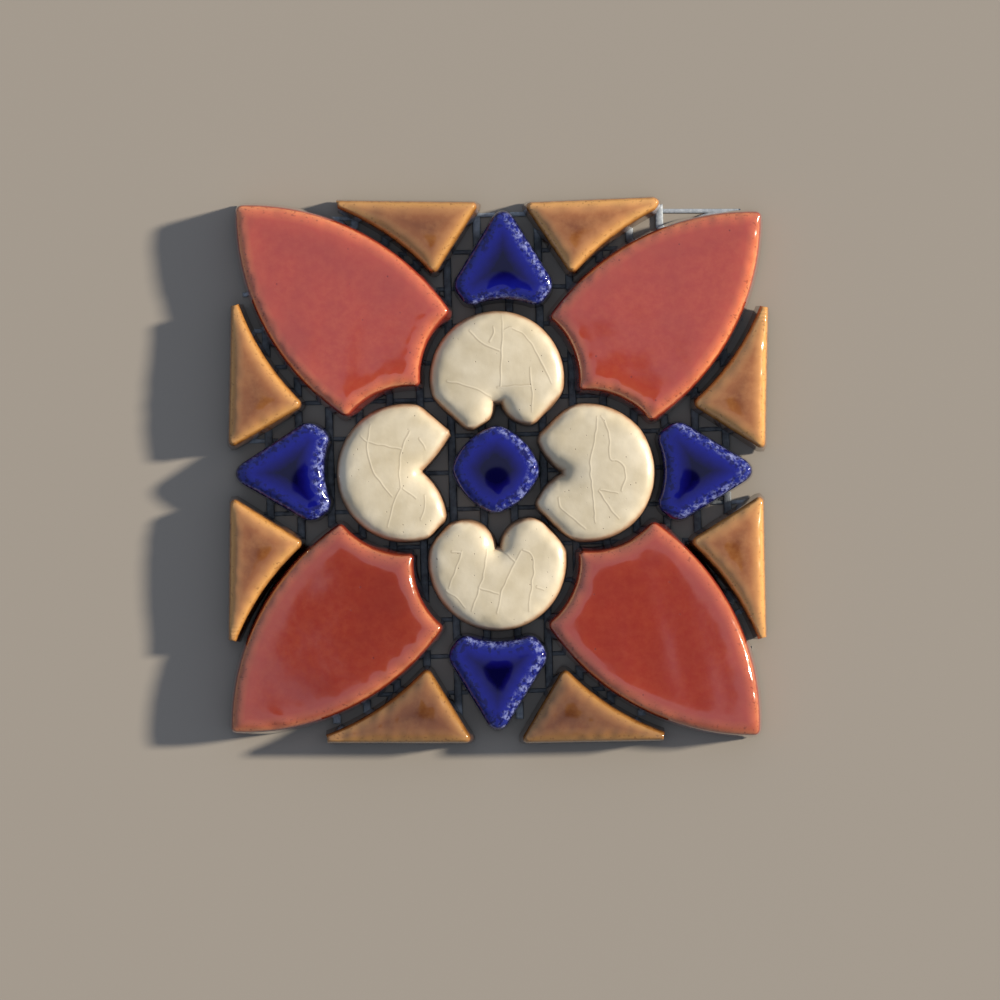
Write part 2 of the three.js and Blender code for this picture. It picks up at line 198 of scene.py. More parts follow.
# Crackle lines of the cream glaze, as drawn across the panel
CRACKS = {
    "top": [
        [(0.7, 28.2), (0.8, 24.8), (0.7, 21.7), (0.5, 18.1), (0.4, 14.9)],
        [(-5.1, 25.0), (-3.3, 23.0), (-1.5, 22.1), (0.3, 21.4)],
        [(-0.8, 25.7), (-0.7, 24.6), (-1.5, 23.0)],
        [(1.0, 25.0), (2.6, 25.7), (5.3, 23.9), (7.1, 20.8), (9.6, 15.6)],
        [(5.7, 18.3), (5.9, 15.8), (6.3, 12.6), (6.1, 10.4)],
        [(-0.1, 14.8), (3.0, 15.0), (5.7, 15.1)],
        [(-9.2, 16.0), (-6.5, 15.4), (-3.3, 14.4), (-1.3, 13.1)],
    ],
    "right": [
        [(17.8, 9.5), (17.5, 5.4), (16.6, 2.7), (16.5, 0), (17.0, -3.6), (17.5, -9.5)],
        [(18.6, 9.7), (19.7, 7.7), (20.1, 5.0), (19.9, 1.8), (21.7, 1.8), (23.2, -0.1), (22.2, -3.8)],
        [(18.4, -3.6), (20.2, -3.8), (21.5, -4.2)],
        [(18.1, -3.8), (19.7, -6.3), (21.7, -8.8)],
        [(10.9, -5.0), (11.1, -6.8), (12.9, -8.1), (15.7, -10.6)],
    ],
    "bottom": [
        [(-6.5, -14.7), (-7.6, -18.1), (-8.9, -21.2)],
        [(-9.4, -21.7), (-7.4, -23.0), (-6.0, -24.8)],
        [(-8.3, -14.7), (-6.5, -14.8)],
        [(-2.0, -14.4), (-2.4, -18.1), (-3.3, -21.2), (-4.7, -25.3)],
        [(-3.4, -21.2), (-1.3, -21.9), (0.1, -22.2)],
        [(4.1, -14.7), (2.1, -18.5), (0.5, -22.1), (-0.1, -25.7)],
        [(1.0, -14.7), (3.0, -16.5)],
        [(4.4, -14.4), (6.4, -14.9), (6.4, -19.0), (5.7, -23.0), (5.5, -25.3)],
        [(6.9, -21.0), (8.2, -21.6)],
    ],
    "left": [
        [(-22.9, 8.1), (-23.5, 5.4), (-23.4, 2.7), (-22.3, -0.9), (-19.1, -4.7)],
        [(-24.7, 6.1), (-23.6, 5.0), (-21.4, 4.6), (-17.5, 3.8)],
        [(-15.9, 6.8), (-17.3, 4.1), (-17.8, 0), (-17.5, -3.2)],
        [(-17.5, -3.4), (-18.6, -5.4), (-19.8, -10.2)],
        [(-17.1, -3.3), (-14.8, -5.0)],
        [(-14.1, 5.6), (-13.0, 3.8)],
        [(-13.2, -4.7), (-13.0, -6.8), (-13.9, -9.0)],
    ],
}
CRACK_RIDGE = 0.03
CRACK_WIDTH = 0.1
CRACK_WANDER = 0.07
WANDER_LENGTH = 2.5

# The shade that lies along a crackle line's left side: how far from it, and how wide
CRACK_SHADE_AT = 0.16
CRACK_SHADE_WIDTH = 0.12

# Net: pitch and width of its threads, and their places from its trimmed edge
NET_MARGIN = 1.7
NET_TURN = 1.5
UPRIGHT = {"pitch": 5.53, "width": 1.44, "from_edge": 6.0, "thickness": 0.34, "middle": 0.43}
CROSSING = {"pitch": 6.66, "width": 0.8, "from_edge": 1.1, "thickness": 0.3, "middle": 0.15}
THREAD_SIDES = 8
THREAD_POINTS = 190

# Where the scissors cut the threads' ends, from the net's middle. One upright was left longer,
# and past the last tile at the top the free crossing sags
CUT_SIDES = 45.4
CUT_BOTTOM = -45.4
CUT_TOP = 45.9
LONG_UPRIGHT = 31.0
LONG_TOP = 47.3
SHORT_TOP = 42.0
SAG_FROM = 27.0

# Painted shade and dirt darken the net between the tiles, as far out as this from the middle
SHADE_AND_DIRT_REACH = 42.0
SHADE_AND_DIRT_FADE = 1.5

HALF_PANEL = PANEL_SIDE / 2
WEDGE_APEX = HALF_PANEL + WEDGE_OVERSHOOT
HALF_WEDGE = math.radians(WEDGE_ANGLE / 2)
WEDGE_BASE = CREAM_OFFSET + CREAM_RADIUS + JOINT
RED_HALF_LENGTH = HALF_PANEL * math.sqrt(2) - RED_TIP_SETBACK - RED_WIDEST_AT
RED_ARC_RADIUS = (RED_HALF_LENGTH**2 + (RED_WIDTH / 2) ** 2) / RED_WIDTH
RED_ARC_ACROSS = RED_ARC_RADIUS - RED_WIDTH / 2
RED_ARC_X = (RED_WIDEST_AT + RED_ARC_ACROSS) * math.sqrt(0.5)
RED_ARC_Y = (RED_WIDEST_AT - RED_ARC_ACROSS) * math.sqrt(0.5)


# Outlines: signed distances, negative inside the tile
def circle(x, y, centre_x, centre_y, radius):
    return np.hypot(x - centre_x, y - centre_y) - radius


def meet(distances, corner_radius):
    """Inside all the given distances at once, with the corners between them rounded."""
    nearest = np.max(distances, axis=0)
    corner = sum(np.maximum(distance + corner_radius, 0) ** 2 for distance in distances)
    return np.minimum(-corner_radius, nearest) + np.sqrt(corner)


def centre_arc_centres():
    corner = np.array([CENTRE_CORNERS / 2, 0])
    diagonal = np.full(2, CENTRE_DIAGONALS / 2 * math.sqrt(0.5))
    side = diagonal - corner
    length = np.hypot(*side)
    outward = np.array([side[1], -side[0]]) / length
    first = (corner + diagonal) / 2 - outward * math.sqrt(CENTRE_SIDE_RADIUS**2 - (length / 2) ** 2)
    centres = []
    for quarter in range(4):
        for mirror in (1, -1):
            centres.append(turned(np.array([first[0], mirror * first[1]]), quarter * math.pi / 2))
    return centres


def turned(points, angle):
    """Points in the plane, turned anticlockwise about the origin."""
    cosine, sine = math.cos(angle), math.sin(angle)
    x, y = points[..., 0], points[..., 1]
    return np.stack([x * cosine - y * sine, x * sine + y * cosine], axis=-1)


CENTRE_ARCS = centre_arc_centres()


def centre_tile(x, y):
    sides = [circle(x, y, arc[0], arc[1], CENTRE_SIDE_RADIUS) for arc in CENTRE_ARCS]
    return meet(sides, CENTRE_CORNER_RADIUS)


def cleft_of(notch):
    return CENTRE_CORNERS / 2 + notch[0]


def lobe_beside(cleft, angle, radius):
    """The lobe right of a notch: its side is an arc from the cleft to its end, then level."""
    centre_x = radius * math.cos(math.radians(angle))
    centre_y = cleft + radius * math.sin(math.radians(angle))
    return lambda x, y: np.hypot(np.maximum(centre_x - x, 0), np.maximum(centre_y - y, 0)) - radius


def cream_petal(notch):
    _, angle, lean, left_radius, right_radius, joint, lobe_radius = notch
    cleft = cleft_of(notch)
    right_lobe = lobe_beside(cleft, angle / 2 + lean, right_radius)
    left_lobe = lobe_beside(cleft, angle / 2 - lean, left_radius)

    def outline(x, y):
        disc = circle(x, y, 0, CREAM_OFFSET, CREAM_RADIUS + CREAM_SWELL)
        right_flat = (x - y) * math.sqrt(0.5) + JOINT / 2 - CREAM_SWELL
        left_flat = (-x - y) * math.sqrt(0.5) + JOINT / 2 - CREAM_SWELL
        seat = joint - CREAM_SWELL - centre_tile(x, y)
        lobes = np.minimum(np.minimum(right_lobe(x, y), left_lobe(-x, y)), cleft - y)
        return meet([disc, right_flat, left_flat, seat, lobes], lobe_radius)

    return outline


def cream_valley(notch):
    end = cleft_of(notch) + VALLEY_LENGTH

    def relief(x, y):
        across = np.exp(-((x / VALLEY_WIDTH) ** 2))
        along = np.clip((end - y) / VALLEY_LENGTH, 0, 1)
        return -VALLEY_DEPTH * across * along**2

    return relief


def wedge_side(x, y):
    return x * math.cos(HALF_WEDGE) - (WEDGE_APEX - y) * math.sin(HALF_WEDGE)


def blue_wedge(x, y):
    tip = meet([wedge_side(x, y), wedge_side(-x, y)], WEDGE_TIP_RADIUS)
    base = -circle(x, y, 0, CREAM_OFFSET, CREAM_RADIUS + JOINT)
    right_shoulder = -circle(x, y, RED_ARC_X, RED_ARC_Y, RED_ARC_RADIUS + JOINT)
    left_shoulder = -circle(x, y, -RED_ARC_X, RED_ARC_Y, RED_ARC_RADIUS + JOINT)
    return meet([tip, base, right_shoulder, left_shoulder], WEDGE_CORNER_RADIUS)


def amber_piece(reach):
    def outline(x, y):
        beside_wedge = JOINT - wedge_side(x, y)
        beside_red = -circle(x, y, RED_ARC_X, RED_ARC_Y, RED_ARC_RADIUS + JOINT)
        return meet([x - reach, y - HALF_PANEL, beside_wedge, beside_red], AMBER_CORNER_RADIUS)

    return outline


def red_petal(x, y):
    along = (x + y) * math.sqrt(0.5)
    across = (y - x) * math.sqrt(0.5)
    upper_arc = circle(along, across, RED_WIDEST_AT, -RED_ARC_ACROSS, RED_ARC_RADIUS)
    lower_arc = circle(along, across, RED_WIDEST_AT, RED_ARC_ACROSS, RED_ARC_RADIUS)
    above_cream = -circle(x, y, 0, CREAM_OFFSET, CREAM_RADIUS + JOINT)
    beside_cream = -circle(x, y, CREAM_OFFSET, 0, CREAM_RADIUS + JOINT)
    return meet([upper_arc, lower_arc, above_cream, beside_cream], RED_CORNER_RADIUS)


# Meshes: a lattice of triangles inside the outline, with rings of faces down to the foot
def lattice(low, high, step):
    """Points on rows of equal triangles over a rectangle, and the triangles between them."""
    row_gap = step * math.sqrt(3) / 2
    columns = int((high[0] - low[0]) / step) + 2
    rows = int((high[1] - low[1]) / row_gap) + 2
    row, column = np.mgrid[0:rows, 0:columns]
    x = low[0] + (column + 0.5 * (row % 2)) * step
    y = low[1] + row * row_gap
    first = (row * columns + column)[:-1, :-1]
    right, above, across = first + 1, first + columns, first + columns + 1
    even = (row[:-1, :-1] % 2 == 0)[..., None]
    one = np.where(even, np.stack([first, right, above], -1), np.stack([first, right, across], -1))
    two = np.where(even, np.stack([right, across, above], -1), np.stack([first, across, above], -1))
    points = np.stack([x.ravel(), y.ravel()], axis=-1)
    return points, np.concatenate([one.reshape(-1, 3), two.reshape(-1, 3)])


def edge_keys(triangles, count):
    """Each triangle's three directed edges, and a key for each that ignores its direction."""
    edges = np.concatenate([triangles[:, [0, 1]], triangles[:, [1, 2]], triangles[:, [2, 0]]])
    return edges, edges.min(axis=1) * count + edges.max(axis=1)


def border_edges(triangles, count):
    edges, keys = edge_keys(triangles, count)
    _, where, times = np.unique(keys, return_index=True, return_counts=True)
    return edges[where[times == 1]]


def without_pinches(triangles, count):
    """The triangles with no point left where two stretches of the border touch."""
    while True:
        starts = np.bincount(border_edges(triangles, count)[:, 0], minlength=count)
        if starts.max() < 2:
            return triangles
        triangles = triangles[~(starts > 1)[triangles].any(axis=1)]


def border_loop(triangles, count):
    """The longest loop of border points, anticlockwise."""
    after = dict(border_edges(triangles, count).tolist())
    longest = []
    while after:
        start, point = after.popitem()
        loop = [start]
        while point != start:
            loop.append(point)
            point = after.pop(point)
        if len(loop) > len(longest):
            longest = loop
    return np.array(longest)


def gradient(outline, points):
    """How steeply a signed distance rises at each point, to the right and up."""
    reach = 0.01
    x, y = points[:, 0], points[:, 1]
    slope_x = (outline(x + reach, y) - outline(x - reach, y)) / (2 * reach)
    slope_y = (outline(x, y + reach) - outline(x, y - reach)) / (2 * reach)
    return np.stack([slope_x, slope_y], axis=-1)


def moved_to_inset(outline, points, inset):
    """Points slid straight in or out until they lie at an inset from the outline."""
    for _ in range(SLIDE_ROUNDS):
        slope = gradient(outline, points)
        error = outline(points[:, 0], points[:, 1]) + inset
        square = np.maximum((slope**2).sum(axis=1), LEAST_SQUARE)
        points = points - slope * (error / square)[:, None]
    return points


def settle(points, triangles, loop, outline, inset):
    """Snaps the border onto its inset and evens out the points beside it."""
    count = len(points)
    edges, keys = edge_keys(triangles, count)
    _, where = np.unique(keys, return_index=True)
    ends = edges[where]
    both = np.concatenate([ends, ends[:, ::-1]])
    neighbours = np.bincount(both[:, 0], minlength=count)
    inner = np.ones(count, bool)
    inner[loop] = False
    points[loop] = moved_to_inset(outline, points[loop], inset)
    for _ in range(SETTLE_ROUNDS):
        beside = (np.roll(points[loop], 1, axis=0) + np.roll(points[loop], -1, axis=0)) / 2
        points[loop] = moved_to_inset(outline, (points[loop] + beside) / 2, inset)
        sums = [np.bincount(both[:, 0], points[both[:, 1], axis], count) for axis in (0, 1)]
        mean = np.stack(sums, axis=-1) / neighbours[:, None]
        points[inner] = mean[inner]
    return points, ends


def extent(outline, middle):
    """The lowest and highest corner of a box with room around an outline."""
    places = np.arange(-SEARCH_REACH, SEARCH_REACH, SEARCH_STEP)
    x, y = np.meshgrid(places + middle[0], places + middle[1])
    inside = outline(x, y) < 0
    low = (x[inside].min() - SEARCH_ROOM, y[inside].min() - SEARCH_ROOM)
    high = (x[inside].max() + SEARCH_ROOM, y[inside].max() + SEARCH_ROOM)
    return low, high


def ring_insets(kind):
    """Insets from the foot up the wall and over the start of the shoulder."""
    draft, width = SECTIONS[kind]["draft"], SECTIONS[kind]["shoulder"]
    wall = [draft * share for share in WALL_RINGS]
    return wall + [draft + width * share for share in SHOULDER_RINGS]


def wall_share(kind, inset):
    """From 0 at the foot to 1 at the top of the wall and all over the tile's top."""
    return np.clip(inset / SECTIONS[kind]["draft"], 0, 1)


def fullness(kind, inset):
    """From 0 at the top of the wall to almost 1 far inside, along a straight edge."""
    section = SECTIONS[kind]
    return 1 - np.exp(-np.maximum(inset - section["draft"], 0) / section["shoulder"])


def eased(values, ends, fixed, kind, step):
    """Values at the lattice's points, spread like a skin that is pulled towards 1."""
    count = len(values)
    both = np.concatenate([ends, ends[:, ::-1]])
    neighbours = np.bincount(both[:, 0], minlength=count)
    pull = (step / SECTIONS[kind]["shoulder"]) ** 2 / 4
    for _ in range(EASE_ROUNDS):
        mean = np.bincount(both[:, 0], values[both[:, 1]], count) / neighbours
        values = np.where(fixed, values, (mean + pull) / (1 + pull))
    return values


def ripple(points, length, random):
    """An uneven swell over the plane, about one high, with crests about a length apart."""
    total = np.zeros(len(points))
    for _ in range(RIPPLE_WAVES):
        angle, phase = random.uniform(0, 2 * math.pi, 2)
        pace = 2 * math.pi / (length * random.uniform(*WAVE_LENGTHS))
        along = points[:, 0] * math.cos(angle) + points[:, 1] * math.sin(angle)
        total += np.sin(pace * along + phase)
    return total / math.sqrt(RIPPLE_WAVES)


def ribs(along):
    """Ridges across a tile's end, along the way to it, that die out further in."""
    inwards = along.max() - along
    fading = np.clip(1 - inwards / RIB_REACH, 0, 1)
    return RIB_DEPTH * np.cos(2 * math.pi * inwards / RIB_PITCH) * fading


def built_mesh(name, corners, faces, values):
    """A smooth mesh with its corners in metres and a named value at each of them."""
    mesh = bpy.data.meshes.new(name)
    mesh.from_pydata((corners / METRE).tolist(), [], faces)
    mesh.shade_smooth()
    for label, numbers in values.items():
        layer = mesh.attributes.new(label, "FLOAT", "POINT")
        layer.data.foreach_set("value", np.asarray(numbers, np.float32))
    mesh.validate()
    return mesh


def tile_form(outline, middle, kind):
    """A tile's points, insets and fullness, from its foot up: rings, then the lattice on top."""
    low, high = extent(outline, middle)
    step = MESH_STEPS[kind]
    points, triangles = lattice(low, high, step)
    insets = ring_insets(kind)
    levels = outline(points[:, 0], points[:, 1])
    triangles = triangles[(levels[triangles] < -insets[-1] - RING_ROOM * step).all(axis=1)]
    triangles = without_pinches(triangles, len(points))
    used, triangles = np.unique(triangles, return_inverse=True)
    triangles = triangles.reshape(-1, 3)
    points = points[used]
    loop = border_loop(triangles, len(points))
    points, ends = settle(points, triangles, loop, outline, insets[-1])
    top_insets = -outline(points[:, 0], points[:, 1])
    fixed = np.zeros(len(points), bool)
    fixed[loop] = True
    full = eased(fullness(kind, top_insets), ends, fixed, kind, step)
    rings = []
    ring = points[loop]
    for inset in reversed(insets[:-1]):
        ring = moved_to_inset(outline, ring, inset)
        rings.append(ring)
    count = len(loop)
    rings.reverse()
    plane = np.concatenate(rings + [points])
    ring_inset = np.repeat(insets[:-1], count)
    inset = np.concatenate([ring_inset, np.maximum(top_insets, 0)])
    full = np.concatenate([fullness(kind, ring_inset), full])
    offset = count * len(rings)
    indices = [np.arange(count) + count * number for number in range(len(rings))] + [loop + offset]
    faces = [list(reversed(range(count)))]
    for lower, upper in zip(indices, indices[1:]):
        quads = np.stack([lower, np.roll(lower, -1), np.roll(upper, -1), upper], axis=-1)
        faces.extend(quads.tolist())
    faces.extend((triangles + offset).tolist())
    return plane, inset, full, faces


def smooth_line(line):
    """A line with its corners cut off, twice over."""
    line = np.array(line, float)
    for _ in range(2):
        near = 0.75 * line[:-1] + 0.25 * line[1:]
        far = 0.25 * line[:-1] + 0.75 * line[1:]
        cut = np.stack([near, far], axis=1).reshape(-1, 2)
        line = np.concatenate([line[:1], cut, line[-1:]])
    return line


def crack_distance(points, cracks, random):
    """How far each point of the panel lies from the nearest crackle line, and on which side."""
    wander = [CRACK_WANDER * ripple(points, WANDER_LENGTH, random) for _ in range(2)]
    points = points + np.stack(wander, axis=-1)
    nearest = np.full(len(points), np.inf)
    side = np.zeros(len(points))
    for crack in map(smooth_line, cracks):
        for start, end in zip(crack, crack[1:]):
            along = end - start
            length = np.hypot(*along)
            share = np.clip((points - start) @ along / length**2, 0, 1)
            away = points - start - share[:, None] * along
            distance = np.hypot(away[:, 0], away[:, 1])
            closer = distance < nearest
            nearest = np.where(closer, distance, nearest)
            side = np.where(closer, away[:, 0], side)
    return nearest, side


def laid(name, plane, middle, quarter, radius):
    """Where a tile's points lie on the panel, centred on its node's box, and that box's middle."""
    slide_right, slide_up, swing, _ = LAYS[name]
    turn = swing * JOINT / radius.max()
    place = turned(middle, -quarter * math.pi / 2) + np.array([slide_right, slide_up]) * JOINT
    spot = turned(plane - middle, turn - quarter * math.pi / 2) + place
    low, high = (np.array(corner[:2]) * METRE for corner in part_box(name))
    centre = (low + high) / 2
    return spot + centre - (spot.min(axis=0) + spot.max(axis=0)) / 2, centre


def section_height(kind, inset, full, radius):
    """Height over the foot, from the inset on the wall and the fullness over it."""
    section = SECTIONS[kind]
    wall = (TILE_THICKNESS - section["drop"]) * wall_share(kind, inset)
    over = section["drop"] * (1 - (1 - full) ** 2) ** (1 / SHOULDER_ROUNDNESS)
    crown = section["crown"] * full * np.exp(-((radius / section["crown_radius"]) ** 2))
    return wall + over + crown


def unevenness(name, kind, spot, centre, inset, full, random):
    """What the hand and the kiln add to a tile's height."""
    height = SWELL_HEIGHT * full * ripple(spot, SWELL_LENGTH, random)
    lumpy = (4 * full * np.clip(1 - full, 0, 1)) ** 2
    height += EDGE_LUMPS[kind] * lumpy * ripple(spot, LUMP_LENGTH, random)
    height += full * ((spot - centre) @ np.radians(TILTS.get(name, (0, 0))))
    if name in RIBBED_ENDS:
        height += wall_share(kind, inset) * ribs(spot[:, 1] * RIBBED_ENDS[name])
    return height


def added(name, data):
    """A new object in the scene."""
    piece = bpy.data.objects.new(name, data)
    bpy.context.scene.collection.objects.link(piece)
    return piece


def dressed(mesh, node):
    """Puts a mesh in the place of a CAD node."""
    piece = added(mesh.name, mesh)
    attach(piece, "root")
    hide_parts(node)


def tile(name, kind, outline, middle, quarter, finish, random, relief=None, cracks=None):
    middle = np.array(middle, float)
    cut_back = LAYS[name][3] * JOINT

    def cut_outline(x, y):
        return outline(x, y) + cut_back + EDGE_CLEARANCE

    plane, inset, full, faces = tile_form(cut_outline, middle, kind)
    radius = np.hypot(*(plane - middle).T)
    spot, centre = laid(name, plane, middle, quarter, radius)
    height = section_height(kind, inset, full, radius)
    height += unevenness(name, kind, spot, centre, inset, full, random)
    if relief is not None:
        height += relief(plane[:, 0], plane[:, 1]) * wall_share(kind, inset)
    # Which way each edge faces, for the blue glaze's painted highlight on right-facing edges
    outwards = turned(gradient(cut_outline, plane), -quarter * math.pi / 2)
    values = {
        "inset": inset,
        "tone": np.full(len(spot), TONES.get(name, 0)),
        "rightwards": outwards[:, 0] / np.maximum(np.hypot(*outwards.T), LEAST_LENGTH),
    }
    if cracks:
        distance, side = crack_distance(spot, cracks, random)
        ridge = np.exp(-((distance / CRACK_WIDTH) ** 2)) * full
        beside = np.exp(-(((distance - CRACK_SHADE_AT) / CRACK_SHADE_WIDTH) ** 2)) * full
        height += CRACK_RIDGE * ridge
        values["crack"] = ridge
        values["crack_side"] = beside * (side < 0)
    corners = np.column_stack([spot, TILE_FOOT + height])
    mesh = built_mesh(f"glazed_{name}", corners, faces, values)
    mesh.polygons[0].use_smooth = False
    mesh.set_sharp_from_angle(angle=math.radians(SHARP_ANGLE))
    mesh.materials.append(finish)
    dressed(mesh, name)


# Finishes
def linear(part):
    """A shader's value for the 8-bit value of a part of a screen colour."""
    share = part / 255
    return ((share + 0.055) / 1.055) ** 2.4 if share > 0.04045 else share / 12.92


def paint(red, green, blue):
    """A shader colour from the 8-bit values of a screen colour."""
    return (linear(red), linear(green), linear(blue), 1.0)


class Nodes:
    """A tree of shader nodes, with short ways to make and join them."""

    def __init__(self, tree):
        self.tree = tree

    def new(self, kind):
        return self.tree.nodes.new(f"ShaderNode{kind}")

    def feed(self, socket, value):
        if isinstance(value, bpy.types.NodeSocket):
            self.tree.links.new(value, socket)
        else:
            socket.default_value = value

    def math(self, operation, *values):
        node = self.new("Math")
        node.operation = operation
        for socket, value in zip(node.inputs, values):
            self.feed(socket, value)
        return node.outputs["Value"]

    def times(self, product, *factors):
        for factor in factors:
            product = self.math("MULTIPLY", product, factor)
        return product

    def fade(self, value, start, end, low=0.0, high=1.0):
        """Runs smoothly from low to high as the value goes from start to end."""
        node = self.new("MapRange")
        node.interpolation_type = "SMOOTHSTEP"
        for socket, number in zip(node.inputs[:5], (value, start, end, low, high)):
            self.feed(socket, number)
        return node.outputs["Result"]


class Finish(Nodes):
    """A material, whose patterns lie in the object's own space."""

    def __init__(self, name, **constants):
        self.material = bpy.data.materials.new(name)
        self.material.use_nodes = True
        super().__init__(self.material.node_tree)
        self.shader = self.tree.nodes["Principled BSDF"]
        self.place = self.new("TexCoord").outputs["Object"]
        for socket, value in constants.items():
            self.feed(self.shader.inputs[socket.replace("_", " ")], value)

    def value(self, name):
        """The value of that name at each corner of the mesh."""
        node = self.new("Attribute")
        node.attribute_name = name
        return node.outputs["Fac"]

    def noise(self, length, detail, roughness=0.5):
        node = self.new("TexNoise")
        self.feed(node.inputs["Vector"], self.place)
        self.feed(node.inputs["Scale"], METRE / length)
        self.feed(node.inputs["Detail"], detail)
        self.feed(node.inputs["Roughness"], roughness)
        return node.outputs["Fac"]

    def cells(self, spacing):
        """Distance from the nearest of scattered points, in cell widths, and the cell's own number."""
        node = self.new("TexVoronoi")
        self.feed(node.inputs["Vector"], self.place)
        self.feed(node.inputs["Scale"], METRE / spacing)
        number = self.new("SeparateColor")
        self.feed(number.inputs["Color"], node.outputs["Color"])
        return node.outputs["Distance"], number.outputs["Red"]

    def ramp(self, value, stops, reach=1.0):
        """Colours along a value that runs from 0 to a reach."""
        node = self.new("ValToRGB")
        self.feed(node.inputs["Fac"], self.times(value, 1 / reach))
        elements = node.color_ramp.elements
        while len(elements) < len(stops):
            elements.new(1.0)
        for element, (position, colour) in zip(elements, stops):
            element.position = position / reach
            element.color = paint(*colour)
        return node.outputs["Color"]

    def mix(self, factor, first, second, blend="MIX"):
        node = self.new("Mix")
        node.data_type = "RGBA"
        node.blend_type = blend
        sockets = (node.inputs[0], node.inputs[6], node.inputs[7])
        for socket, value in zip(sockets, (factor, first, second)):
            self.feed(socket, value)
        return node.outputs[2]

    def bump(self, height, depth):
        node = self.new("Bump")
        self.feed(node.inputs["Distance"], depth / METRE)
        self.feed(node.inputs["Height"], height)
        self.feed(self.shader.inputs["Normal"], node.outputs["Normal"])

    def colour(self, value):
        self.feed(self.shader.inputs["Base Color"], value)


class Patches(NamedTuple):
    """Patches of a screen colour where a noise is high: the values and insets where they fade in."""

    colour: tuple
    strength: float
    length: float
    detail: float
    fade: tuple
    roughness: float = 0.5
    zones: tuple = ()


class Pits(NamedTuple):
    """Pinholes in some of the cells around scattered points: their edge and depth, and which cells."""

    colour: tuple
    strength: float
    spacing: float
    fade: tuple
    chosen: tuple
    depth: float


# Screen colours by the inset from a tile's edge, and how far in they run. The darkest stops, at the
# foot, are partly the bare wall's own colour and partly painted shade in the joints
INSET_REACH = 6.0
CREAM_RIM_WITH_FOOT_SHADE = [(0, (96, 70, 52)), (0.35, (168, 132, 100)), (0.9, (200, 170, 138))]
RED_GLAZE_WITH_FOOT_SHADE = [
    (0, (70, 20, 14)),
    (0.6, (136, 44, 30)),
    (0.95, (150, 58, 38)),
    (1.2, (230, 148, 98)),
    (1.9, (214, 116, 74)),
    (3.4, (182, 72, 52)),
    (6, (168, 60, 46)),
]
BLUE_GLAZE_WITH_FOOT_SHADE = [
    (0, (6, 7, 18)),
    (0.5, (22, 26, 62)),
    (0.9, (34, 44, 124)),
    (1.5, (20, 30, 122)),
    (2.6, (18, 24, 128)),
    (4.4, (10, 8, 84)),
    (5.5, (3, 2, 46)),
]
AMBER_GLAZE_WITH_FOOT_SHADE = [
    (0, (46, 24, 10)),
    (0.5, (104, 62, 28)),
    (0.8, (190, 134, 70)),
    (1.2, (222, 168, 98)),
    (2.2, (186, 130, 76)),
    (3.4, (156, 96, 50)),
    (5.4, (126, 70, 30)),
]

# Screen colours by a noise that runs from 0 to 1
CREAM_GLAZE = [(0.3, (200, 189, 160)), (0.7, (224, 215, 190))]
CLEAN_NET = [(0.3, (142, 154, 166)), (0.7, (180, 190, 198))]
# Colours of the net between the tiles: partly dirt, partly painted shade in the joints
SHADED_DIRTY_NET = [(0.35, (74, 80, 86)), (0.65, (112, 120, 126))]

# The cream glaze's rim gives way to its body between these insets
CREAM_RIM_ENDS = (0.4, 1.3)

# Screen colour and strength of the painted highlight on a crackle line's crest and of the painted shade
# on its left
CRACK_CREST_HIGHLIGHT = (226, 217, 192)
CRACK_CREST_HIGHLIGHT_STRENGTH = 0.7
CRACK_SHADE = (160, 142, 108)
CRACK_SHADE_STRENGTH = 0.5

CREAM_PITS = Pits((100, 78, 56), 0.75, spacing=1.0, fade=(0.13, 0.05), chosen=(0.62, 0.64), depth=2.0)

RED_MOTTLE = Patches((190, 92, 62), 0.4, length=1.6, detail=6, fade=(0.3, 0.72), roughness=0.66)
RED_CLOUDS = Patches((146, 54, 50), 0.45, length=14, detail=3, fade=(0.34, 0.66))
RED_SPECKS = Patches(
    (120, 52, 30), 0.6, length=0.5, detail=2, fade=(0.6, 0.68), zones=((0.9, 1.2), (3.4, 1.6))
)
RED_PITS = Pits((96, 30, 34), 0.6, spacing=2.2, fade=(0.1, 0.04), chosen=(0.7, 0.72), depth=1.5)

# The blue glaze broke into pale flecks along its edges; where an edge faces right, towards the sun, they
# reach further in as a painted highlight
BLUE_FLECKS_AND_HIGHLIGHT = Patches(
    (140, 150, 200), 0.85, length=0.9, detail=5, fade=(0.44, 0.66), roughness=0.7, zones=((0.3, 0.8),)
)
FLECKS_AND_HIGHLIGHT_END = (2.0, 0.6)
BLUE_DOTS = Patches((10, 10, 74), 0.8, length=0.7, detail=1, fade=(0.54, 0.6), zones=((3.2, 2.0),))
BLUE_BUMPS_END = (2.4, 1.2)

AMBER_MOTTLE = Patches((204, 148, 92), 0.3, length=3, detail=6, fade=(0.36, 0.68), roughness=0.62)
AMBER_SPECKS = Patches((116, 70, 34), 0.5, length=0.5, detail=2, fade=(0.6, 0.68), zones=((2.6, 1.2),))

# What a tile's colour is multiplied by where it was fired darkest
DARK_FIRED = (104, 90, 68)


def uneven_inset(finish, length, spread):
    """The inset from a tile's edge, with its contours wandering to and fro."""
    wander = finish.math("SUBTRACT", finish.noise(length, detail=3), 0.5)
    return finish.math("ADD", finish.value("inset"), finish.times(wander, 2 * spread))


def patched(finish, body, patches, inset, weight=1.0):
    """A colour with patches over it."""
    noise = finish.noise(patches.length, patches.detail, patches.roughness)
    factor = finish.times(finish.fade(noise, *patches.fade), weight)
    for zone in patches.zones:
        factor = finish.times(factor, finish.fade(inset, *zone))
    return finish.mix(finish.times(factor, patches.strength), body, paint(*patches.colour))


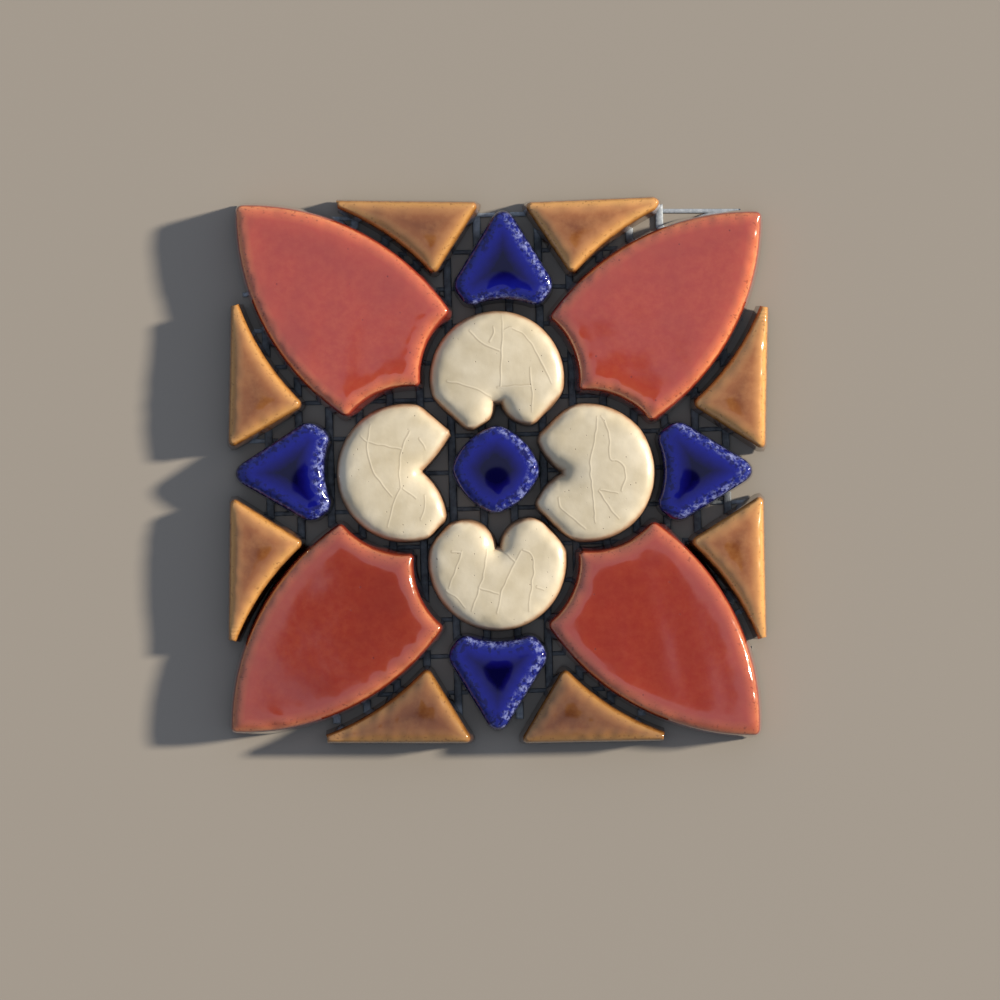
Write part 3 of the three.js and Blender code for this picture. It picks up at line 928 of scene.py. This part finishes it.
def pitted(finish, body, pits):
    """A colour with pinholes in it, and how deep they are."""
    distance, number = finish.cells(pits.spacing)
    pit = finish.times(finish.fade(distance, *pits.fade), finish.fade(number, *pits.chosen))
    body = finish.mix(finish.times(pit, pits.strength), body, paint(*pits.colour))
    return body, finish.times(pit, pits.depth)


def fired(finish, body):
    """A colour as dark as its tile was fired."""
    return finish.mix(finish.value("tone"), body, paint(*DARK_FIRED), "MULTIPLY")


def cream_finish():
    finish = Finish("cream_crackle_glaze", Roughness=0.36, Coat_Weight=0.15, Coat_Roughness=0.12)
    inset = uneven_inset(finish, length=1.6, spread=0.35)
    body = finish.ramp(finish.noise(length=5, detail=4), CREAM_GLAZE)
    # The rim darkens to the foot: partly the bare body's colour, partly painted shade in the joints
    rim = finish.ramp(inset, CREAM_RIM_WITH_FOOT_SHADE, INSET_REACH)
    body = finish.mix(finish.fade(inset, *CREAM_RIM_ENDS), rim, body)
    shade = finish.times(finish.value("crack_side"), CRACK_SHADE_STRENGTH)
    body = finish.mix(shade, body, paint(*CRACK_SHADE))
    # A painted highlight along each crackle line's raised crest
    crest_highlight = finish.times(finish.value("crack"), CRACK_CREST_HIGHLIGHT_STRENGTH)
    body = finish.mix(crest_highlight, body, paint(*CRACK_CREST_HIGHLIGHT))
    body, pits = pitted(finish, body, CREAM_PITS)
    finish.colour(body)
    finish.bump(finish.math("SUBTRACT", finish.noise(length=1.2, detail=3), pits), depth=0.03)
    return finish.material


def red_finish():
    gloss = {"Roughness": 0.1, "IOR": 1.6, "Coat_Weight": 0.9, "Coat_Roughness": 0.05, "Coat_IOR": 1.6}
    finish = Finish("red_glaze", **gloss)
    inset = uneven_inset(finish, length=1.2, spread=0.18)
    # Darkest at the foot: partly the wall's own colour, partly painted shade in the joints
    body = finish.ramp(inset, RED_GLAZE_WITH_FOOT_SHADE, INSET_REACH)
    for patches in (RED_MOTTLE, RED_CLOUDS, RED_SPECKS):
        body = patched(finish, body, patches, inset)
    body, pits = pitted(finish, body, RED_PITS)
    finish.colour(fired(finish, body))
    finish.bump(finish.math("SUBTRACT", finish.noise(length=3.5, detail=2), pits), depth=0.02)
    return finish.material


def blue_finish():
    finish = Finish("blue_glaze", Roughness=0.05, IOR=1.45, Coat_Weight=0.15, Coat_Roughness=0.03)
    inset = uneven_inset(finish, length=1.2, spread=0.4)
    # Darkest at the foot: partly the wall's own colour, partly painted shade in the joints
    body = finish.ramp(inset, BLUE_GLAZE_WITH_FOOT_SHADE, INSET_REACH)
    # Pale flecks reach further in on right-facing edges: a painted highlight where the sun falls
    spread = finish.math("SUBTRACT", inset, finish.value("rightwards"))
    body = patched(finish, body, BLUE_FLECKS_AND_HIGHLIGHT, inset, finish.fade(spread, *FLECKS_AND_HIGHLIGHT_END))
    finish.colour(patched(finish, body, BLUE_DOTS, inset))
    bumps = finish.times(finish.noise(length=0.8, detail=2), finish.fade(inset, *BLUE_BUMPS_END))
    finish.bump(bumps, depth=0.05)
    return finish.material


def amber_finish():
    finish = Finish("amber_glaze", Roughness=0.12, IOR=1.6, Coat_Weight=0.5, Coat_Roughness=0.06)
    inset = uneven_inset(finish, length=1.4, spread=0.25)
    # Darkest at the foot: partly the wall's own colour, partly painted shade in the joints
    body = finish.ramp(inset, AMBER_GLAZE_WITH_FOOT_SHADE, INSET_REACH)
    for patches in (AMBER_MOTTLE, AMBER_SPECKS):
        body = patched(finish, body, patches, inset)
    finish.colour(fired(finish, body))
    finish.bump(finish.noise(length=3, detail=2), depth=0.02)
    return finish.material


def net_finish():
    finish = Finish("coated_glass_fibre", Roughness=0.5)
    clean = finish.ramp(finish.noise(length=0.6, detail=3), CLEAN_NET)
    # The net between the tiles is darker: partly dirt, partly painted shade in the joints
    shaded_dirty = finish.ramp(finish.noise(length=1.5, detail=4), SHADED_DIRTY_NET)
    finish.colour(finish.mix(finish.value("shade_and_dirt"), clean, shaded_dirty))
    finish.bump(finish.noise(length=0.2, detail=2), depth=0.05)
    return finish.material


# Net
def thread_places(thread, side):
    """Places of the threads of one kind across a square net."""
    places = []
    place = thread["from_edge"] - side / 2
    while place < side / 2 - thread["width"]:
        places.append(place)
        place += thread["pitch"]
    return places


def yarn(path, width, thickness):
    """A closed flat tube along a path that runs in the plane, as points and faces."""
    count = len(path)
    sides = THREAD_SIDES
    angles = np.arange(sides) * 2 * math.pi / sides
    along = np.gradient(path[:, :2], axis=0)
    along /= np.hypot(along[:, 0], along[:, 1])[:, None]
    across = np.stack([-along[:, 1], along[:, 0]], axis=-1)
    ring = path[:, None, :].repeat(sides, axis=1)
    ring[:, :, :2] += across[:, None, :] * (np.cos(angles) * width / 2)[None, :, None]
    ring[:, :, 2] += np.sin(angles) * thickness / 2
    row = np.arange(count - 1)[:, None] * sides
    first = row + np.arange(sides)[None, :]
    beside = row + (np.arange(sides)[None, :] + 1) % sides
    quads = np.stack([first, beside, beside + sides, first + sides], axis=-1).reshape(-1, 4)
    faces = quads.tolist()
    faces.append(list(range(sides)))
    faces.append([(count - 1) * sides + number for number in reversed(range(sides))])
    return ring.reshape(-1, 3), faces


def upright_threads(side):
    """The uprights, of which one was cut longer and those past it shorter."""
    half_pitch = UPRIGHT["pitch"] / 2
    for place in thread_places(UPRIGHT, side):
        top = CUT_TOP
        if abs(place - LONG_UPRIGHT) < half_pitch:
            top = LONG_TOP
        elif place > LONG_UPRIGHT:
            top = SHORT_TOP
        run = np.linspace(CUT_BOTTOM, top, THREAD_POINTS)
        across = np.full(len(run), place)
        path = np.column_stack([across, run, np.full(len(run), UPRIGHT["middle"])])
        yield yarn(path, UPRIGHT["width"], UPRIGHT["thickness"])


def crossing_threads(side):
    """The crossing threads, of which the top one sags past the last tile."""
    for number, place in enumerate(thread_places(CROSSING, side)):
        run = np.linspace(-CUT_SIDES, CUT_SIDES, THREAD_POINTS)
        level = np.full(len(run), -place)
        if number == 0:
            level -= np.maximum(run - SAG_FROM, 0) * math.tan(math.radians(NET_TURN))
        path = np.column_stack([run, level, np.full(len(run), CROSSING["middle"])])
        yield yarn(path, CROSSING["width"], CROSSING["thickness"])


def backing_net():
    side = PANEL_SIDE - 2 * NET_MARGIN
    corners = []
    faces = []
    start = 0
    for points, own_faces in [*upright_threads(side), *crossing_threads(side)]:
        corners.append(points)
        faces.extend([[number + start for number in face] for face in own_faces])
        start += len(points)
    corners = np.concatenate(corners)
    corners[:, :2] = turned(corners[:, :2], math.radians(NET_TURN))
    low, high = (np.array(corner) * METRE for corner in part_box("backing_net"))
    corners[:, :2] += (low + high)[:2] / 2
    # Painted shade and dirt on the net inside the panel's edge, where the joints are
    reach = np.abs(corners[:, :2]).max(axis=1)
    shade_and_dirt = np.clip((SHADE_AND_DIRT_REACH + SHADE_AND_DIRT_FADE - reach) / SHADE_AND_DIRT_FADE, 0, 1)
    mesh = built_mesh("woven_net", corners, faces, {"shade_and_dirt": shade_and_dirt})
    mesh.materials.append(net_finish())
    dressed(mesh, "backing_net")


# Tiles go clockwise from the top, and an amber piece has its mirror image across the wedge
SIDES = ["top", "right", "bottom", "left"]
CORNERS = ["top_right", "bottom_right", "bottom_left", "top_left"]
AMBER_PLACES = ["top_right", "right_lower", "bottom_left", "left_upper"]
MIRRORED_PLACES = ["top_left", "right_upper", "bottom_right", "left_lower"]


def deepest_point(outline, start):
    """The point furthest inside an outline, found from a start by smaller and smaller steps."""
    point = list(start)
    step = FIRST_STEP
    while step > FINEST_STEP:
        moved = True
        while moved:
            moved = False
            for step_x, step_y in ((step, 0), (-step, 0), (0, step), (0, -step)):
                if outline(point[0] + step_x, point[1] + step_y) < outline(*point):
                    point = [point[0] + step_x, point[1] + step_y]
                    moved = True
        step /= 2
    return point


def mirrored(outline):
    return lambda x, y: outline(-x, y)


def lay_tiles():
    cream, red, blue, amber = cream_finish(), red_finish(), blue_finish(), amber_finish()
    random = np.random.default_rng(SEED)
    tile("blue_centre_tile", "blue", centre_tile, (0, 0), 0, blue, random)
    wedge_middle = (0, (2 * WEDGE_BASE + HALF_PANEL) / 3)
    red_middle = [RED_WIDEST_AT * math.sqrt(0.5)] * 2
    for quarter, side in enumerate(SIDES):
        notch = NOTCHES[side]
        cream_middle = (0, (cleft_of(notch) + CREAM_OFFSET + CREAM_RADIUS + CREAM_SWELL) / 2)
        tile(f"cream_petal_{side}", "cream", cream_petal(notch), cream_middle, quarter, cream, random,
             cream_valley(notch), CRACKS[side])
        tile(f"blue_wedge_{side}", "blue", blue_wedge, wedge_middle, quarter, blue, random)
        tile(f"red_petal_{CORNERS[quarter]}", "red", red_petal, red_middle, quarter, red, random)
        place = AMBER_PLACES[quarter]
        outline = amber_piece(BLUNT_AMBER_REACH if place == "top_right" else AMBER_REACH)
        middle = deepest_point(outline, (AMBER_REACH / 2, HALF_PANEL - 2 * JOINT))
        tile(f"amber_piece_{place}", "amber", outline, middle, quarter, amber, random)
        outline = mirrored(amber_piece(AMBER_REACH))
        middle = deepest_point(outline, (-AMBER_REACH / 2, HALF_PANEL - 2 * JOINT))
        tile(f"amber_piece_{MIRRORED_PLACES[quarter]}", "amber", outline, middle, quarter, amber, random)


# Floor, light and camera
FLOOR_REACH = 3.0
FLOOR_HEIGHT = -0.00001
FLOOR_COLOUR = (158, 152, 142)

CAMERA_X = 0.31
CAMERA_Y = -5.417
CAMERA_HEIGHT = 700.0
VIEW_WIDTH = 180.5
GLAZE_HEIGHT = 4.5
SENSOR = 36.0

# A low sun on the right, its height over the floor and its bearing towards the top in degrees
SUN_HEIGHT = 24.0
SUN_BEARING = 12.0
SUN_ENERGY = 5.8
SUN_COLOUR = (1.0, 0.88, 0.73)
SUN_ANGLE = 5.0

# The room's light by its direction: from low to high, as the direction rises and leans to the top
SKY_COLOUR = (0.82, 0.91, 1.12, 1.0)
SKY_LOW = 0.2
SKY_HIGH = 0.46
SKY_LEAN = 0.35
SKY_RISE = (0.2, 1.0)

# A dim patch a little below the middle, where whoever looks down stands in the way: its middle
# and reach as slopes from straight up, its edge as shares of the reach, the light left in it, and
# the least rise that a slope is reckoned with
DIM_MIDDLE = (0.008, -0.035)
DIM_REACH = (0.06, 0.07)
DIM_EDGE = (0.9, 1.06)
DIM_LIGHT = 0.03
LEAST_HEIGHT = 0.05


def floor():
    reach = FLOOR_REACH
    corners = [(-reach, -reach), (reach, -reach), (reach, reach), (-reach, reach)]
    mesh = bpy.data.meshes.new("floor")
    mesh.from_pydata([(x, y, FLOOR_HEIGHT) for x, y in corners], [], [(0, 1, 2, 3)])
    finish = Finish("pale_floor", Roughness=0.8)
    finish.colour(paint(*FLOOR_COLOUR))
    mesh.materials.append(finish.material)
    added("floor", mesh)


def soft_room():
    """The room around the panel, as light that depends on its direction alone."""
    world = bpy.data.worlds.new("soft_room")
    world.use_nodes = True
    nodes = Nodes(world.node_tree)
    parts = nodes.new("SeparateXYZ")
    nodes.feed(parts.inputs[0], nodes.new("TexCoord").outputs["Generated"])
    right, up, high = parts.outputs
    squares = []
    for part, middle, reach in zip((right, up), DIM_MIDDLE, DIM_REACH):
        slope = nodes.math("DIVIDE", part, nodes.math("MAXIMUM", high, LEAST_HEIGHT))
        share = nodes.math("DIVIDE", nodes.math("SUBTRACT", slope, middle), reach)
        squares.append(nodes.math("POWER", share, 2))
    distance = nodes.math("SQRT", nodes.math("ADD", *squares))
    clear = nodes.fade(distance, *DIM_EDGE, DIM_LIGHT, 1.0)
    height = nodes.math("MULTIPLY_ADD", up, SKY_LEAN, high)
    strength = nodes.fade(height, *SKY_RISE, SKY_LOW, SKY_HIGH)
    background = world.node_tree.nodes["Background"]
    nodes.feed(background.inputs["Color"], SKY_COLOUR)
    nodes.feed(background.inputs["Strength"], nodes.times(clear, strength))
    return world


def lights():
    sun = bpy.data.lights.new("low_sun", "SUN")
    sun.energy = SUN_ENERGY
    sun.color = SUN_COLOUR
    sun.angle = math.radians(SUN_ANGLE)
    piece = added("low_sun", sun)
    piece.rotation_euler = (0, math.radians(90 - SUN_HEIGHT), math.radians(SUN_BEARING))
    bpy.context.scene.world = soft_room()


def camera():
    lens = bpy.data.cameras.new("camera")
    lens.sensor_width = SENSOR
    lens.lens = SENSOR * (CAMERA_HEIGHT - GLAZE_HEIGHT) / VIEW_WIDTH
    piece = added("camera", lens)
    piece.location = (CAMERA_X / METRE, CAMERA_Y / METRE, CAMERA_HEIGHT / METRE)
    bpy.context.scene.camera = piece
    bpy.context.scene.view_settings.view_transform = "Standard"


camera()
lights()
floor()
backing_net()
lay_tiles()
